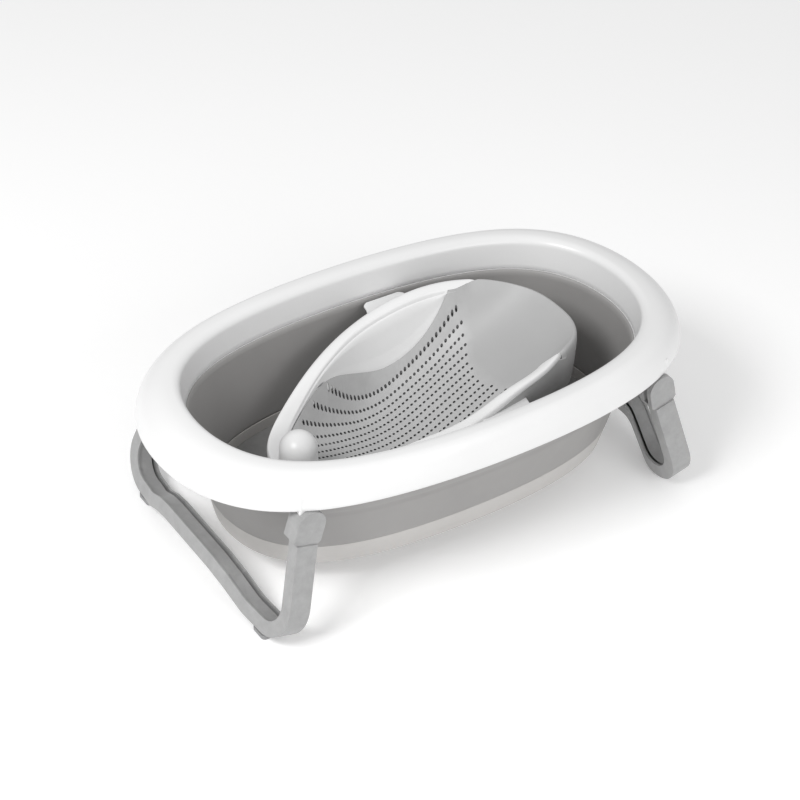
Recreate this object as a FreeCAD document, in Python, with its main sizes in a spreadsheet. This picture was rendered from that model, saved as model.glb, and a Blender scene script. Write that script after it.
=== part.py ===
import FreeCAD, Part
import math
import os

# Folding baby bathtub with a reclined bath seat, standing on two folding U legs.
# Frame: +Z up, +X towards the head end, +Y one long side, origin on the floor in
# the middle of the rim's outline.  All lengths are in millimetres.

doc = FreeCAD.newDocument("FoldingBabyBath")
sheet = doc.addObject("Spreadsheet::Sheet", "Sizes")

DRIVING = [
    ("tub_length", 820), ("tub_width", 462), ("tub_height", 255),
    ("skirt_bottom", 206), ("rim_wall", 4), ("inner_wall_bottom", 205),
    ("inner_length", 682), ("inner_width", 372), ("end_crest_inset", 47), ("side_crest_inset", 20),
    ("crest_band", 5), ("inner_lip_inset_end", 12), ("inner_lip_inset_side", 17),
    ("ring_height", 5), ("ring_band", 12),
    ("wall_thickness", 3),
    ("tray_bottom", 40), ("tray_top", 78), ("tray_length", 628), ("tray_width", 332),
    ("tray_taper", 8), ("tray_wall", 4), ("tray_floor", 58), ("mat_thickness", 6),
    ("hinge_offset", 288), ("hinge_height", 184), ("leg_splay", 15), ("leg_reach", 184.5),
    ("arm_top_half_width", 188), ("foot_half_width", 232), ("arm_depth", 20), ("bar_depth", 22),
    ("leg_breadth", 32), ("leg_wall", 4), ("leg_corner", 54), ("bar_arch", 32), ("bar_bow", 26),
    ("foot_flat_end", 140), ("arch_flat_end", 78), ("bend_radius", 80), ("hinge_inset", 8),
    ("cover_thickness", 3),
    ("cover_gap", 4), ("pin_cap", 3), ("knuckle_breadth", 42), ("knuckle_depth", 26), ("knuckle_drop", 30),
    ("fork_slot", 9), ("fork_slot_drop", 21), ("tongue_breadth", 26), ("tongue_depth", 8),
    ("pin_diameter", 8), ("pin_clearance", 0.05), ("pad_thickness", 6), ("pad_length", 30),
    ("pad_breadth", 24), ("pad_centre", 161),
    ("drain_offset", 232), ("drain_bore", 30), ("drain_flange", 46), ("plug_head", 38),
    ("seat_wall", 4), ("panel_wall", 2.5), ("seat_foot_diameter", 24), ("ear_start", 22),
    ("ear_length", 70), ("ear_reach", 176), ("ear_level", 199), ("ear_thickness", 4),
    ("post_offset", 191), ("post_top", 167), ("post_ball", 54), ("post_stem", 50),
    ("screw_diameter", 3.5), ("screw_length", 9), ("screw_head", 6.5), ("ring_screw_count", 12),
]

for row, (alias, value) in enumerate(DRIVING, start=1):
    sheet.set(f"A{row}", alias)
    sheet.set(f"B{row}", str(value))
    sheet.setAlias(f"B{row}", alias)
doc.recompute()


def size(alias):
    """Value of a driving dimension."""
    return float(sheet.get(alias))


# ---------------------------------------------------------------- outlines and lofts

SQUARENESS_X = 0.032
SQUARENESS_Y = 0.048
OUTLINE_POINTS = 32


def oval_point(half_length, half_width, turn):
    """Point of the oval at an angle parameter."""
    x = half_length * ((1 + SQUARENESS_X) * math.cos(turn) - SQUARENESS_X * math.cos(3 * turn))
    y = half_width * ((1 + SQUARENESS_Y) * math.sin(turn) + SQUARENESS_Y * math.sin(3 * turn))
    return x, y


def outline(half_length, half_width, level):
    """Closed oval, fuller at its corners than an ellipse, at one level."""
    points = []
    for index in range(OUTLINE_POINTS):
        x, y = oval_point(half_length, half_width, 2 * math.pi * index / OUTLINE_POINTS)
        points.append(FreeCAD.Vector(x, y, level))
    return closed_curve(points)


def closed_curve(points):
    """Smooth closed wire through points."""
    curve = Part.BSplineCurve()
    curve.interpolate(Points=points, PeriodicFlag=True)
    return Part.Wire([curve.toShape()])


def oval_stack(sections, straight=False):
    """Solid through a stack of ovals, each (half length, half width, level)."""
    wires = [outline(*section) for section in sections]
    return Part.makeLoft(wires, True, straight)


def keep_shape(label, shape):
    """A document object that holds a free-form shape."""
    feature = doc.addObject("Part::Feature", label)
    feature.Label = label
    feature.Shape = shape
    return feature


# ---------------------------------------------------------------- rim

def rim_outer_sections(inset):
    """Skirt rising as a quarter ellipse to the crest, all pulled in by inset."""
    half_length = size("tub_length") / 2 - inset
    half_width = size("tub_width") / 2 - inset
    low = size("skirt_bottom")
    rise = size("tub_height") - low - inset
    sections = []
    for angle in (0, 25, 48, 70, 90):
        turn = math.radians(angle)
        pull = 1 - math.cos(turn)
        sections.append((half_length - size("end_crest_inset") * pull,
                         half_width - size("side_crest_inset") * pull,
                         low + rise * math.sin(turn)))
    return sections


def rim_opening_sections(growth):
    """The tub's mouth: wall bottom, wall top and the rounded inner lip, grown outwards."""
    wall_length = size("inner_length") / 2 + growth
    wall_width = size("inner_width") / 2 + growth
    crest_length = size("tub_length") / 2 - size("end_crest_inset") - size("crest_band")
    crest_width = size("tub_width") / 2 - size("side_crest_inset") - size("crest_band")
    crest = size("tub_height")
    lip_length = crest_length - size("inner_lip_inset_end")
    lip_width = crest_width - size("inner_lip_inset_side")
    return [(wall_length, wall_width, size("inner_wall_bottom")),
            ((wall_length + lip_length + growth) / 2, (wall_width + lip_width + growth) / 2, crest - 26),
            (lip_length + growth, lip_width + growth, crest - 12),
            (crest_length - size("inner_lip_inset_end") * 0.3 + growth,
             crest_width - size("inner_lip_inset_side") * 0.3 + growth, crest - 3),
            (crest_length + growth, crest_width + growth, crest)]


def tongue(side_x, side_y):
    """Lug under the skirt that carries one leg hinge pin."""
    half = size("tongue_breadth") / 2
    axis_x = side_x * size("hinge_offset")
    centre_y = size("arm_top_half_width") - size("hinge_inset")
    start_y = side_y * centre_y - size("tongue_depth") / 2
    top = size("skirt_bottom") + 18
    disc = Part.makeCylinder(half, size("tongue_depth"),
                             FreeCAD.Vector(axis_x, start_y, size("hinge_height")), FreeCAD.Vector(0, 1, 0))
    web = Part.makeBox(2 * half, size("tongue_depth"), top - size("hinge_height"),
                       FreeCAD.Vector(axis_x - half, start_y, size("hinge_height")))
    bore_radius = size("pin_diameter") / 2
    bore = Part.makeCylinder(bore_radius, 40, FreeCAD.Vector(axis_x, start_y - 16, size("hinge_height")),
                             FreeCAD.Vector(0, 1, 0))
    return disc.fuse(web).cut(bore)


def ring_screw_places():
    """Where the retaining ring is screwed up into the rim."""
    count = int(size("ring_screw_count"))
    half_length = size("inner_length") / 2 - 1 + size("ring_band") / 2
    half_width = size("inner_width") / 2 - 1 + size("ring_band") / 2
    places = []
    for index in range(count):
        turn = 2 * math.pi * (index + 0.5) / count
        places.append(oval_point(half_length, half_width, turn))
    return places


def screw_boss(place):
    """Round boss under the crest with the pilot hole of one ring screw."""
    low = size("inner_wall_bottom")
    base = FreeCAD.Vector(place[0], place[1], low)
    boss = Part.makeCylinder(size("screw_head") / 2 + 0.8, 26, base)
    return boss.cut(Part.makeCylinder(size("screw_diameter") / 2, size("screw_length"), base))


def make_rim():
    """Hollow rim moulding: skirt, crest and inner wall, with four hinge tongues."""
    wall = size("rim_wall")
    body = oval_stack(rim_outer_sections(0))
    sections = rim_outer_sections(wall)
    sections[0] = (sections[0][0], sections[0][1], size("skirt_bottom") - 3)
    hollow = oval_stack(sections)
    mouth = oval_stack(rim_opening_sections(0))
    guard = oval_stack(rim_opening_sections(wall)[:4])
    low = size("inner_wall_bottom") - 2
    half_length = size("inner_length") / 2 + wall
    half_width = size("inner_width") / 2 + wall
    guard_foot = oval_stack([(half_length, half_width, low), (half_length, half_width, size("inner_wall_bottom"))])
    channel = hollow.cut(guard).cut(guard_foot)
    shell = body.cut(channel).cut(mouth)
    lugs = [tongue(side_x, side_y) for side_x in (-1, 1) for side_y in (-1, 1)]
    bosses = [screw_boss(place) for place in ring_screw_places()]
    return shell.multiFuse(lugs + bosses).Solids[0]


keep_shape("rim", make_rim())


# ---------------------------------------------------------------- ring and folding wall

def ring_between(outer_sections, inner_sections):
    """Oval shell: an outer stack with an inner stack taken out of it."""
    return oval_stack(outer_sections).cut(oval_stack(inner_sections)).Solids[0]


def spread(sections, growth):
    """Sections grown outwards and run 1 mm past both ends."""
    grown = [(length + growth, width + growth, level) for length, width, level in sections]
    first = (grown[0][0], grown[0][1], grown[0][2] - 1)
    last = (grown[-1][0], grown[-1][1], grown[-1][2] + 1)
    return [first] + grown[1:-1] + [last]


WALL_TOP = (size("inner_length") / 2 - 1, size("inner_width") / 2 - 1, size("inner_wall_bottom") - 1)
WALL_FOOT = (size("tray_length") / 2, size("tray_width") / 2, size("tray_top") + 0.3)
WALL_MIDDLE = ((WALL_TOP[0] + WALL_FOOT[0]) / 2 + 2, (WALL_TOP[1] + WALL_FOOT[1]) / 2 + 2,
               (WALL_TOP[2] + WALL_FOOT[2]) / 2)


def make_retaining_ring():
    """Flat ring that clamps the top bead of the folding wall up against the rim."""
    length = WALL_TOP[0] + size("ring_band")
    width = WALL_TOP[1] + size("ring_band")
    top = size("inner_wall_bottom") - 1
    sections = [(length, width, top - size("ring_height")), (length, width, top)]
    ring = ring_between(sections, spread(sections, 0.3 - size("ring_band")))
    for x, y in ring_screw_places():
        ring = ring.cut(Part.makeCylinder(size("screw_diameter") / 2 + 0.2, 20, FreeCAD.Vector(x, y, top - 10)))
    return ring.Solids[0]


def make_fold_wall():
    """Soft wall hanging from the rim down round the tray."""
    sections = [WALL_FOOT, WALL_MIDDLE, WALL_TOP]
    return ring_between(sections, spread(sections, -size("wall_thickness")))


def make_ring_screws():
    """Self-tapping screws up through the retaining ring into the rim's bosses, one group."""
    seat = size("inner_wall_bottom") - 1 - size("ring_height")
    reach = size("ring_height") + 1 + size("screw_length") - 1
    screws = []
    for x, y in ring_screw_places():
        head = Part.makeCylinder(size("screw_head") / 2, 2, FreeCAD.Vector(x, y, seat - 2))
        shank = Part.makeCylinder(size("screw_diameter") / 2, reach, FreeCAD.Vector(x, y, seat))
        screws.append(head.fuse(shank).Solids[0])
    return Part.makeCompound(screws)


keep_shape("retaining_ring", make_retaining_ring())
keep_shape("fold_wall", make_fold_wall())
keep_shape("ring_screws", make_ring_screws())


# ---------------------------------------------------------------- tray, mat and drain

def tray_section(inset, level):
    """One oval of the tray, whose sides lean out towards the top."""
    part_way = (size("tray_top") - level) / (size("tray_top") - size("tray_bottom"))
    pull = inset + size("tray_taper") * part_way
    return (size("tray_length") / 2 - pull, size("tray_width") / 2 - pull, level)


def drain_cylinder(diameter, low, high):
    """Upright cylinder on the drain's axis."""
    base = FreeCAD.Vector(size("drain_offset"), 0, low)
    return Part.makeCylinder(diameter / 2, high - low, base)


def make_base_tray():
    """Stiff shallow tray: raised floor inside an outer band, open underneath."""
    low = size("tray_bottom")
    top = size("tray_top")
    wall = size("tray_wall")
    floor = size("tray_floor")
    body = oval_stack([tray_section(5, low), tray_section(0.5, low + 4), tray_section(0, top)], True)
    well = oval_stack([tray_section(wall, floor), tray_section(wall, top + 1)], True)
    under = oval_stack([tray_section(wall + 5, low - 1), tray_section(wall + 0.5, floor - wall)], True)
    return body.cut(well).cut(under).cut(drain_cylinder(size("drain_bore"), low, top)).Solids[0]


def make_floor_mat():
    """Soft floor lining inside the tray."""
    level = size("tray_floor")
    mat = oval_stack([tray_section(size("tray_wall") + 0.4, level),
                      tray_section(size("tray_wall") + 0.4, level + size("mat_thickness"))])
    return mat.cut(drain_cylinder(size("drain_flange") + 0.6, level - 1, level + 10)).Solids[0]


def revolved_body(label, outline_points):
    """PartDesign body turned from a half section of (radius, height) pairs."""
    body = doc.addObject("PartDesign::Body", label)
    body.Label = label
    sketch = body.newObject("Sketcher::SketchObject", label + "_section")
    plane = [item for item in body.Origin.OriginFeatures if item.Role == "XZ_Plane"][0]
    sketch.AttachmentSupport = [(plane, "")]
    sketch.MapMode = "FlatFace"
    count = len(outline_points)
    for index, (radius, height) in enumerate(outline_points):
        next_radius, next_height = outline_points[(index + 1) % count]
        sketch.addGeometry(Part.LineSegment(FreeCAD.Vector(radius, height, 0),
                                            FreeCAD.Vector(next_radius, next_height, 0)), False)
    turn = body.newObject("PartDesign::Revolution", label + "_turn")
    turn.Profile = sketch
    turn.ReferenceAxis = (sketch, ["V_Axis"])
    turn.Angle = 360
    body.Tip = turn
    return body


def expression_place(feature, x="0", y="0", z="0"):
    """Bind a feature's position to the sheet."""
    feature.setExpression("Placement.Base.x", x)
    feature.setExpression("Placement.Base.y", y)
    feature.setExpression("Placement.Base.z", z)


def half_section_drain_seat():
    """Flanged sleeve through the tray floor, measured from the tray floor's top."""
    bore = size("drain_bore") / 2
    flange = size("drain_flange") / 2
    drop = size("tray_floor") - size("tray_bottom") - 1
    return [(bore - 5, -drop), (bore - 0.2, -drop), (bore - 0.2, 0), (flange, 0), (flange, 2.5),
            (bore - 2, 2.5), (bore - 5, -2)]


def half_section_drain_plug():
    """Soft stopper with a broad pull rim, measured from the tray floor's top."""
    bore = size("drain_bore") / 2
    head = size("plug_head") / 2
    return [(0, -12), (bore - 7, -12), (bore - 5.4, -2.4), (bore - 2.2, 2.9), (head, 2.9), (head, 5.2),
            (head - 3, 6.2), (7, 6.2), (6, 10.5), (0, 11)]


keep_shape("base_tray", make_base_tray())
keep_shape("floor_mat", make_floor_mat())
drain_seat = revolved_body("drain_seat", half_section_drain_seat())
expression_place(drain_seat, "Sizes.drain_offset", "0", "Sizes.tray_floor")
drain_plug = revolved_body("drain_plug", half_section_drain_plug())
expression_place(drain_plug, "Sizes.drain_offset", "0", "Sizes.tray_floor")


# ---------------------------------------------------------------- bath seat

# Edge of the seat from its foot round one side to the head: x, half width, height.
SEAT_EDGE = [(-220, 0, 114), (-203, 60, 117), (-165, 88, 138), (-98, 117, 174), (-15, 142, 200), (75, 136, 229),
             (135, 122, 236), (178, 100, 237), (212, 77, 232), (236, 42, 229), (243, 0, 227)]
SEAT_CENTRE_X = -20
SEAT_LOW = 75.5
FOOT_RISE = 0.0013
BACK_START = -50
BACK_CURVE = 0.0036
BACK_SLOPE = 0.54
FLANK_POWER = 3.4
SHOULDER_POWER = 2.0
SHOULDER_ANGLE = 50
SHOULDER_SPREAD = 30


def seat_floor(x):
    """Height of the seat's centre line: low at the hips, then a straight back up to the head."""
    reach = x - BACK_START
    if reach < 0:
        return SEAT_LOW + FOOT_RISE * reach * reach
    bend = BACK_SLOPE / (2 * BACK_CURVE)
    return SEAT_LOW + BACK_CURVE * min(reach, bend) ** 2 + BACK_SLOPE * max(0, reach - bend)


def flank_power(x, y):
    """How late the dish turns up towards its edge, latest beside the shoulders."""
    angle = math.degrees(math.atan2(abs(y), x - SEAT_CENTRE_X))
    return FLANK_POWER + SHOULDER_POWER * math.exp(-((angle - SHOULDER_ANGLE) / SHOULDER_SPREAD) ** 2)


def seat_ring(fraction, drop, inset):
    """Closed ring round the dish at a fraction of the way from its centre to its edge."""
    side = list(SEAT_EDGE)
    other = [(x, -y, z) for x, y, z in reversed(side[1:-1])]
    points = []
    for x, y, z in side + other:
        reach = math.hypot(x - SEAT_CENTRE_X, y)
        keep = fraction * (reach - inset) / reach
        ring_x = SEAT_CENTRE_X + (x - SEAT_CENTRE_X) * keep
        height = (z - seat_floor(x)) * fraction ** flank_power(x, y)
        points.append(FreeCAD.Vector(ring_x, y * keep, seat_floor(ring_x) + height - drop))
    return closed_curve(points)


def dish(fractions, top_drop, thickness, inset):
    """Thin dish through rings, closed by a strip at its edge and a face at its middle."""
    upper = [seat_ring(fraction, top_drop, inset + thickness * fraction ** 2) for fraction in fractions]
    lower = [seat_ring(fraction, top_drop + thickness * (1 - 0.9 * fraction ** 3), inset)
             for fraction in fractions]
    faces = []
    for rings in (upper, lower):
        faces += Part.makeLoft(rings, False, False).Faces
        faces += Part.makeFilledFace(rings[-1].Edges).Faces
    faces.append(Part.makeRuledSurface(upper[0].Edges[0], lower[0].Edges[0]))
    shell = Part.makeShell(faces)
    shell.sewShape()
    solid = Part.makeSolid(shell)
    if solid.Volume < 0:
        solid.reverse()
    return solid


SHELL_RINGS = (1, 0.9, 0.78, 0.6, 0.4, 0.2)
PANEL_RINGS = (0.82, 0.72, 0.58, 0.4, 0.2)
seat_shell_dish = dish(SHELL_RINGS, size("panel_wall") + 0.4, size("seat_wall"), 0)


def seat_ear(side):
    """Arm that reaches from the seat's edge to the tub wall."""
    inner = 132
    breadth = size("ear_length")
    reach = size("ear_reach") - inner
    start_y = inner if side > 0 else -size("ear_reach")
    arm = Part.makeBox(breadth, reach, size("ear_thickness"),
                       FreeCAD.Vector(size("ear_start"), start_y, size("ear_level")))
    upright = [edge for edge in arm.Edges
               if abs(edge.tangentAt(edge.FirstParameter).z) > 0.9
               and abs(edge.CenterOfMass.y) > size("ear_reach") - 1]
    return arm.makeFillet(14, upright)


def make_seat_shell():
    """Seat dish with its two ears; what stands inside the dish is trimmed off the ears."""
    ears = []
    for side in (-1, 1):
        ear = seat_ear(side).cut(seat_shell_dish)
        outer = max(ear.Solids, key=lambda solid: solid.Volume)
        ears.append(outer)
    return seat_shell_dish.multiFuse(ears).Solids[0]


keep_shape("seat_shell", make_seat_shell())
seat_panel = keep_shape("seat_panel", dish(PANEL_RINGS, 0, size("panel_wall"), size("seat_wall") + 1))


def make_crotch_post(dish_shapes):
    """Ball on a short stem that stands on the foot end of the seat."""
    ball = size("post_ball") / 2
    axis = FreeCAD.Vector(-size("post_offset"), 0, 0)
    centre = size("post_top") - ball
    stem = Part.makeCylinder(size("post_stem") / 2, centre - SEAT_LOW, axis + FreeCAD.Vector(0, 0, SEAT_LOW))
    post = Part.makeSphere(ball, axis + FreeCAD.Vector(0, 0, centre)).fuse(stem)
    for shape in dish_shapes:
        post = max(post.cut(shape).Solids, key=lambda solid: solid.CenterOfMass.z)
    return post


keep_shape("crotch_post", make_crotch_post([seat_shell_dish, seat_panel.Shape]))


def make_seat_feet():
    """Four soft feet between the mat and the underside of the seat, one group."""
    mat_top = size("tray_floor") + size("mat_thickness")
    below = []
    for x in (-110, 60):
        for y in (-42, 42):
            post = Part.makeCylinder(size("seat_foot_diameter") / 2, 60, FreeCAD.Vector(x, y, mat_top))
            foot = min(post.cut(seat_shell_dish).Solids, key=lambda solid: solid.CenterOfMass.z)
            below.append(foot)
    return Part.makeCompound(below)


keep_shape("seat_feet", make_seat_feet())


# ---------------------------------------------------------------- folding legs

# A leg is drawn in its own frame: X across the bar, Y along the hinge axis, Z up from
# that axis, with the crossbar at the bottom.

def rounded_path(points, radii):
    """Edges of a polyline whose inner corners are rounded by tangent arcs."""
    edges = []
    start = points[0]
    for index in range(1, len(points) - 1):
        corner = points[index]
        before = (points[index - 1] - corner).normalize()
        after = (points[index + 1] - corner).normalize()
        half_angle = before.getAngle(after) / 2
        radius = radii[index - 1]
        setback = radius / math.tan(half_angle)
        entry = corner + before * setback
        leave = corner + after * setback
        middle_way = (before + after).normalize()
        middle = corner + middle_way * (radius / math.sin(half_angle) - radius)
        edges.append(Part.LineSegment(start, entry).toShape())
        edges.append(Part.Arc(entry, middle, leave).toShape())
        start = leave
    edges.append(Part.LineSegment(start, points[-1]).toShape())
    return edges


def closed_face(one_side, other_side):
    """Flat face between two open chains of edges that run the same way."""
    caps = [Part.LineSegment(one_side[0].Vertexes[0].Point, other_side[0].Vertexes[0].Point).toShape(),
            Part.LineSegment(one_side[-1].Vertexes[1].Point, other_side[-1].Vertexes[1].Point).toShape()]
    return Part.Face(Part.Wire(Part.__sortEdges__(one_side + other_side + caps)))


def u_path(arm_inset, bar_inset, corner, top):
    """U line at a depth inside the leg's outer surface, with its bottom bar arched."""
    reach = size("leg_reach")
    lean = (size("foot_half_width") - size("arm_top_half_width")) / reach
    across = arm_inset * math.hypot(1, lean)
    low = -(reach - bar_inset)
    half_line = [(size("arm_top_half_width") - across - lean * top, top),
                 (size("arm_top_half_width") - across - lean * low, low),
                 (size("foot_flat_end"), low),
                 (size("arch_flat_end"), low + size("bar_arch"))]
    points = [FreeCAD.Vector(0, -y, z) for y, z in half_line]
    points += [FreeCAD.Vector(0, y, z) for y, z in reversed(half_line)]
    bend = size("bend_radius")
    return rounded_path(points, [corner, bend, bend, bend, bend, corner])


def u_band(outer, inner, top, breadth):
    """Solid U between two depths, each (arm inset, bar inset, corner), with bowed faces."""
    face = closed_face(u_path(*outer, top), u_path(*inner, top))
    face.translate(FreeCAD.Vector(-80, 0, 0))
    return face.extrude(FreeCAD.Vector(160, 0, 0)).common(bowed_slab(breadth))


def bowed_slab(breadth):
    """Upright slab across the leg, flat at the arms and bowed outwards between the feet."""
    side = size("foot_half_width") + 20
    bow = size("bar_bow")
    low = -2 * size("leg_reach")
    plan = [(0, side), (0, size("foot_flat_end") + 12), (bow, size("arch_flat_end")),
            (bow, -size("arch_flat_end")), (0, -size("foot_flat_end") - 12), (0, -side)]
    sides = []
    for offset in (-breadth / 2, breadth / 2):
        points = [FreeCAD.Vector(x + offset, y, low) for x, y in plan]
        sides.append(rounded_path(points, [size("bend_radius")] * 4))
    return closed_face(*sides).extrude(FreeCAD.Vector(0, 0, -2 * low))


ARM_TOP = -size("knuckle_drop")


def make_leg_shell():
    """Outer channel of one leg, open towards the inside of the U."""
    wall = size("leg_wall")
    corner = size("leg_corner")
    arm = size("arm_depth")
    bar = size("bar_depth")
    inner_corner = corner - arm
    body = u_band((0, 0, corner), (arm, bar, inner_corner), ARM_TOP, size("leg_breadth"))
    channel = u_band((wall, wall, corner - wall), (arm + 2, bar + 2, inner_corner - 2), ARM_TOP + 2,
                     size("leg_breadth") - 2 * wall)
    return body.cut(channel).Solids[0]


def make_leg_cover():
    """Strip that closes the channel, set in from its mouth, with a gap at each side."""
    wall = size("leg_wall")
    arm = size("arm_depth")
    bar = size("bar_depth")
    inner_corner = size("leg_corner") - arm
    thick = size("cover_thickness")
    sink = 1.5
    breadth = size("leg_breadth") - 2 * wall - 0.4
    outer = (arm - sink - thick, bar - sink - thick, inner_corner + sink + thick)
    inner = (arm - sink, bar - sink, inner_corner + sink)
    strip = u_band(outer, inner, ARM_TOP - 0.3, breadth)
    groove = u_band((arm - sink - 2 * thick, bar - sink - 2 * thick, inner_corner + 8),
                    (arm + 3, bar + 3, inner_corner - 3), ARM_TOP + 2, size("cover_gap"))
    groove.translate(FreeCAD.Vector(size("cover_gap") / 2 - breadth / 2, 0, 0))
    return strip.cut(groove).Solids[0]


def make_knuckle(side):
    """Forked hinge block on top of one arm: rounded top, slot for the tongue, blind pin bore.

    The slot is open above and towards the tub's middle, the way the tongue swings through it."""
    radius = size("knuckle_breadth") / 2
    depth = size("knuckle_depth")
    centre = side * (size("arm_top_half_width") - size("hinge_inset"))
    start = centre - depth / 2
    along = FreeCAD.Vector(0, 1, 0)
    round_top = Part.makeCylinder(radius, depth, FreeCAD.Vector(0, start, 0), along)
    block = Part.makeBox(2 * radius, depth, size("knuckle_drop") - 0.2,
                         FreeCAD.Vector(-radius, start, -size("knuckle_drop") + 0.2))
    slot_end = size("tongue_breadth") / 2 + 4
    slot = Part.makeBox(radius + 1 + slot_end, size("fork_slot"), radius + size("fork_slot_drop") + 1,
                        FreeCAD.Vector(-radius - 1, centre - size("fork_slot") / 2, -size("fork_slot_drop")))
    bore_start = start - 1 if side > 0 else start + size("pin_cap")
    bore = Part.makeCylinder(size("pin_diameter") / 2 + size("pin_clearance"), depth - size("pin_cap") + 1,
                             FreeCAD.Vector(0, bore_start, 0), along)
    body = round_top.fuse(block).removeSplitter()
    low_edges = [edge for edge in body.Edges
                 if edge.CenterOfMass.z < 1 - size("knuckle_drop") and abs(edge.CenterOfMass.x) > radius - 1]
    return body.makeChamfer(4.5, low_edges).cut(slot).cut(bore).Solids[0]


def make_pin(side):
    """Hinge pin pressed in from the inner cheek, through the rim's tongue, into the outer cheek."""
    length = size("knuckle_depth") - size("pin_cap") - 1
    inner_face = side * (size("arm_top_half_width") - size("hinge_inset") - size("knuckle_depth") / 2 + 0.5)
    return Part.makeCylinder(size("pin_diameter") / 2, length, FreeCAD.Vector(0, inner_face, 0),
                             FreeCAD.Vector(0, side, 0))


def leg_placement(end):
    """Stand a leg at the head end (+1) or the foot end (-1), splayed outwards."""
    base = FreeCAD.Vector(end * size("hinge_offset"), 0, size("hinge_height"))
    splay = FreeCAD.Rotation(FreeCAD.Vector(0, 1, 0), -size("leg_splay"))
    about = FreeCAD.Rotation(FreeCAD.Vector(0, 0, 1), 0 if end > 0 else 180)
    return FreeCAD.Placement(base, about.multiply(splay))


def make_foot_pads(shell_shape, end):
    """Two soft pads under a crossbar, trimmed to its underside, one group."""
    splay = math.radians(size("leg_splay"))
    centre_x = end * (size("hinge_offset") + size("leg_reach") * math.sin(splay) + 3)
    pads = []
    for side in (-1, 1):
        corner = FreeCAD.Vector(centre_x - size("pad_breadth") / 2,
                                side * size("pad_centre") - size("pad_length") / 2, 0)
        block = Part.makeBox(size("pad_breadth"), size("pad_length"), size("pad_thickness"), corner)
        upright = [edge for edge in block.Edges if abs(edge.tangentAt(edge.FirstParameter).z) > 0.9]
        block = block.makeFillet(6, upright)
        pads.append(min(block.cut(shell_shape).Solids, key=lambda solid: solid.BoundBox.ZMin))
    return Part.makeCompound(pads)


leg_shell_shape = make_leg_shell()
leg_cover_shape = make_leg_cover()
for end, name in ((-1, "left"), (1, "right")):
    placement = leg_placement(end)
    shell = keep_shape(name + "_leg_shell", leg_shell_shape.copy())
    shell.Placement = placement
    cover = keep_shape(name + "_leg_cover", leg_cover_shape.copy())
    cover.Placement = placement
    for side, side_name in ((-1, "near"), (1, "far")):
        turned = side if end > 0 else -side
        knuckle = keep_shape(f"{name}_{side_name}_knuckle", make_knuckle(turned))
        knuckle.Placement = placement
        pin = keep_shape(f"{name}_{side_name}_hinge_pin", make_pin(turned))
        pin.Placement = placement
    keep_shape(name + "_foot_pads", make_foot_pads(shell.Shape, end))


# ---------------------------------------------------------------- checks and files

doc.recompute()
pieces = [item for item in doc.Objects if item.TypeId in ("Part::Feature", "PartDesign::Body")]
for item in doc.Objects:
    if "Invalid" in item.State or "Error" in item.State:
        raise RuntimeError(f"{item.Label} did not compute")
os.makedirs("parts", exist_ok=True)
for piece in pieces:
    if piece.Shape.isNull() or not piece.Shape.isValid():
        raise RuntimeError(f"{piece.Label} has no valid shape")
    piece.Shape.exportStep(f"parts/{piece.Label}.step")
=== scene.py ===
import math

import bmesh
import bpy
import numpy as np
from mathutils import Matrix, Vector
from mathutils.geometry import delaunay_2d_cdt
from mathutils.kdtree import KDTree


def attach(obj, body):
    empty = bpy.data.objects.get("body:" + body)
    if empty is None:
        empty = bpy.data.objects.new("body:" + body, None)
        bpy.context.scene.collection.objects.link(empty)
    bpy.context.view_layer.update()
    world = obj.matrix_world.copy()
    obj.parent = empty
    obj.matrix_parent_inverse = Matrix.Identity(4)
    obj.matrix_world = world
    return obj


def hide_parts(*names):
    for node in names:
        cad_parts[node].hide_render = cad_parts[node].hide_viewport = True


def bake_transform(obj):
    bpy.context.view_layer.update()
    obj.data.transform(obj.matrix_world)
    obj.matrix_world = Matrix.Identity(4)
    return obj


# Looks of the folding baby bathtub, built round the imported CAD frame.
# Lengths in this file are in millimetres until a mesh is made, which is in metres.

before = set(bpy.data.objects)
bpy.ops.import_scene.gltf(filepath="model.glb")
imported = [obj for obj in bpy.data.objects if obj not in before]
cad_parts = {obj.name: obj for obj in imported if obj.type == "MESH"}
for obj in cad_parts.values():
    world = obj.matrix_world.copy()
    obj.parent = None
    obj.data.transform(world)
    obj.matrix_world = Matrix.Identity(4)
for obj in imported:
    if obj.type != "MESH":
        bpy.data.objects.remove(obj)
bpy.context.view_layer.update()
MM = 0.001


# ---------------------------------------------------------------- mesh helpers

def add_object(name, mesh, body):
    """Put a mesh in the scene as a piece that rides on a CAD body."""
    obj = bpy.data.objects.new(name, mesh)
    bpy.context.scene.collection.objects.link(obj)
    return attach(obj, body)


def mesh_from(name, points, faces):
    """Smooth-shaded mesh from points in millimetres, with its faces turned outwards."""
    mesh = bpy.data.meshes.new(name)
    mesh.from_pydata([Vector(point) * MM for point in points], [], faces)
    work = bmesh.new()
    work.from_mesh(mesh)
    bmesh.ops.recalc_face_normals(work, faces=work.faces)
    work.to_mesh(mesh)
    work.free()
    mesh.shade_smooth()
    return mesh


def loop_faces(ring_count, points_per_ring, close_stack, offset=0):
    """Quads between closed rings of points, first to last or all the way round."""
    faces = []
    for ring in range(ring_count if close_stack else ring_count - 1):
        here = offset + ring * points_per_ring
        there = offset + (ring + 1) % ring_count * points_per_ring
        for step in range(points_per_ring):
            after = (step + 1) % points_per_ring
            faces.append((here + step, here + after, there + after, there + step))
    return faces


def blend_steps(count):
    """Numbers from 0 to 1, both ends included."""
    return [index / (count - 1) for index in range(count)]


def smooth_step(value, low, high):
    """0 below low, 1 above high, and smooth between."""
    share = min(1.0, max(0.0, (value - low) / (high - low)))
    return share * share * (3 - 2 * share)


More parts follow.
